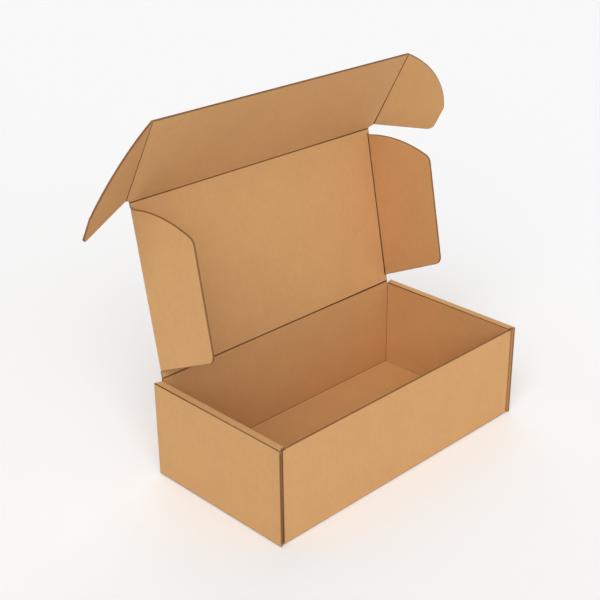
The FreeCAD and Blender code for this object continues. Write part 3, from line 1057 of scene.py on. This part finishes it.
class MAILER_OT_creases(Operator):
    """Presses the six folds that bend when the box is opened and closed"""

    bl_idname = "mailer.creases"
    bl_label = "Press the creases"

    def execute(self, context):
        p = fold_lines()
        lid, cover, tuck = p.lid, lid_place(p), tuck_place(p)
        reaches = (lid.panel_end, lid.panel_start)
        for name, parent, child, place, turn in (
            ("lid", "tray", "lid", Place(cover.zero, Z, -Y), lid.lid_angle - math.pi / 2),
            ("tuck", "lid", "tuck_flap", Place(tuck.zero, *cover.axes[1:]), lid.tuck_angle),
        ):
            shell, points = crease(p, place, turn, *reaches, partial(across_lid, p))
            bend(name + "_crease", shell, parent, child, points)
        dust = ("dust", "lid", "dust_flap", cover, p.dust_x, lid.dust_angle, lid.side_fold_reach)
        ears = ("ear", "tuck_flap", "ear", tuck, p.ear_x, lid.ear_angle, lid.panel_start)
        for row, ends in ((dust, dust_ends), (ears, ear_ends)):
            name, parent, child, panel_place, x, turn, reach = row
            place = Place(panel_place.put([x, 0, 0]), panel_place.axes[0], panel_place.axes[2])
            shell, points = crease(p, place, turn, reach, reach, partial(ends, p))
            bend("right_" + name + "_crease", shell, parent, "right_" + child, points)
            mirrored = [point * [-1, 1, 1] for point in points]
            bend("left_" + name + "_crease", shell.mirrored(), parent, "left_" + child, mirrored)
        return {"FINISHED"}


def seen_directly(tree):
    """1 for rays from the camera, through glass or off a mirror, 0 for rays that carry light."""
    rays = tree.nodes.new("ShaderNodeLightPath").outputs
    either = math_node(tree, "MAXIMUM", rays["Is Camera Ray"], rays["Is Glossy Ray"])
    return math_node(tree, "MAXIMUM", either, rays["Is Transmission Ray"])


def pale_floor(studio):
    """A wide floor just under the box. Seen directly it is lifted to the backdrop's brightness
    where no shadow lies."""
    material = bpy.data.materials.new("pale floor")
    material.use_nodes = True
    tree = material.node_tree
    shader = tree.nodes["Principled BSDF"]
    shader.inputs["Base Color"].default_value = (*studio.floor, 1.0)
    shader.inputs["Roughness"].default_value = 1.0
    shader.inputs["Specular IOR Level"].default_value = 0.0
    shader.inputs["Emission Color"].default_value = (1.0, 1.0, 1.0, 1.0)
    lift = max(0.0, studio.backdrop - studio.open_floor)
    shown = math_node(tree, "MULTIPLY", seen_directly(tree), lift)
    tree.links.new(shown, shader.inputs["Emission Strength"])
    corners = rectangle(-FLOOR_REACH, FLOOR_REACH, -FLOOR_REACH, FLOOR_REACH)
    mesh = bpy.data.meshes.new("floor")
    mesh.from_pydata([(x, y, FLOOR_LEVEL) for x, y in corners], [], [(0, 1, 2, 3)])
    mesh.materials.append(material)
    return bpy.data.objects.new("floor", mesh)


def even_light(studio):
    """A world that lights evenly, and is as bright as the backdrop where it is seen directly."""
    world = bpy.data.worlds.new("even light")
    world.use_nodes = True
    tree = world.node_tree
    background = tree.nodes["Background"]
    background.inputs["Color"].default_value = (1.0, 1.0, 1.0, 1.0)
    lift = studio.backdrop - studio.ambient
    shown = math_node(tree, "MULTIPLY_ADD", seen_directly(tree), lift, studio.ambient)
    tree.links.new(shown, background.inputs["Strength"])
    return world


def broad_light(name, azimuth, elevation, spread, irradiance):
    """A far light with a wide disc, from an azimuth about the box and an elevation above the
    floor. Azimuth 0 is in front of the box and 90 degrees to its right."""
    data = bpy.data.lights.new(name, "SUN")
    data.angle = math.radians(spread)
    data.energy = irradiance
    light = bpy.data.objects.new(name, data)
    light.rotation_euler = (math.radians(90 - elevation), 0, math.radians(azimuth))
    return light


def photo_camera(studio):
    """The camera where the photo was taken from."""
    data = bpy.data.cameras.new("camera")
    data.lens = studio.lens
    data.sensor_width = SENSOR_WIDTH
    data.shift_x, data.shift_y = CAMERA_SHIFT
    data.clip_start = NEAREST_SEEN
    camera = bpy.data.objects.new("camera", data)
    camera.location = CAMERA_PLACE
    camera.rotation_euler = (math.radians(90 - CAMERA_DOWN), 0.0, math.radians(CAMERA_ROUND))
    return camera


class MAILER_OT_stage(Operator):
    """Sets the pale floor, the soft light and the camera"""

    bl_idname = "mailer.stage"
    bl_label = "Set the stage"

    def execute(self, context):
        studio, scene = settings().studio, context.scene
        floor, camera = pale_floor(studio), photo_camera(studio)
        things = [floor, camera]
        for name, direction in LIGHTS.items():
            things.append(broad_light(name + " light", *direction, getattr(studio, name)))
        for thing in things:
            scene.collection.objects.link(thing)
        scene.world = even_light(studio)
        scene.camera = camera
        scene.view_settings.view_transform = "Standard"
        return {"FINISHED"}


class MAILER_PT_sidebar(Panel):
    """Sizes, finish and build steps of the mailer box"""

    bl_idname = "MAILER_PT_sidebar"
    bl_label = "Mailer Box"
    bl_space_type = "VIEW_3D"
    bl_region_type = "UI"
    bl_category = "Mailer Box"

    def draw(self, context):
        """Each group's settings in a box of its own, and a button for each step."""
        for title in ("board", "tray", "lid", "finish", "studio"):
            group = getattr(context.scene.mailer_box, title)
            area = self.layout.box()
            area.label(text=title.capitalize())
            for name in group.__annotations__:
                area.prop(group, name)
        for step in STEPS:
            self.layout.operator(step.bl_idname)


STEPS = (
    MAILER_OT_tray,
    MAILER_OT_lid,
    MAILER_OT_tuck_flap,
    MAILER_OT_side_flaps,
    MAILER_OT_creases,
    MAILER_OT_stage,
)
SETTINGS = (BoardSheet, TraySizes, LidSizes, KraftFinish, Studio, MailerBox)
CLASSES = (*SETTINGS, *STEPS, MAILER_PT_sidebar)


def register():
    """Adds the settings, the steps and the panel to Blender."""
    for cls in CLASSES:
        bpy.utils.register_class(cls)
    bpy.types.Scene.mailer_box = PointerProperty(type=MailerBox)


def unregister():
    """Takes them away again."""
    del bpy.types.Scene.mailer_box
    for cls in reversed(CLASSES):
        bpy.utils.unregister_class(cls)


def main():
    """Builds the box step by step."""
    register()
    bpy.ops.mailer.tray()
    bpy.ops.mailer.lid()
    bpy.ops.mailer.tuck_flap()
    bpy.ops.mailer.side_flaps()
    bpy.ops.mailer.creases()
    bpy.ops.mailer.stage()


if __name__ == "__main__":
    main()
